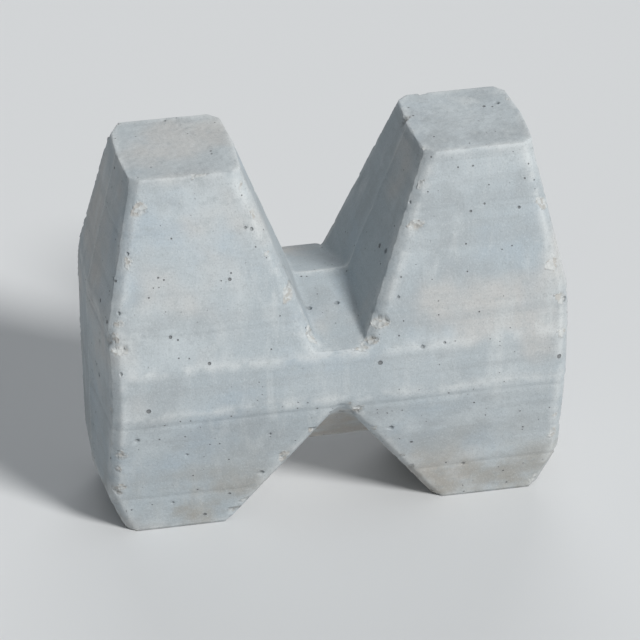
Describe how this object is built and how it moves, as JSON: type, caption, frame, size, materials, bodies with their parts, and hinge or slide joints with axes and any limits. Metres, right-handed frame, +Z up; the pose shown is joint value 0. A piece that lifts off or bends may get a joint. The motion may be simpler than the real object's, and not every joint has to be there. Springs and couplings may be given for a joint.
{
  "type": "concrete tetrapod",
  "caption": "Cast concrete armour block for sea walls: stands on stub legs, raises a pair of tapered legs past a deep notch, and nests row behind row.",
  "frame": {"origin": "on the ground, under the middle of the block, level with its soles", "axes": "+X to the right along the shoulders, +Y to the back across the parting plane of the mould, +Z up from the soles to the tips"},
  "size_m": [1.5, 0.7, 1.25],
  "materials": {
    "cast_concrete": "matt cast concrete"
  },
  "bodies": {
    "root": {"armour_block": "cast_concrete"}
  },
  "joints": []
}
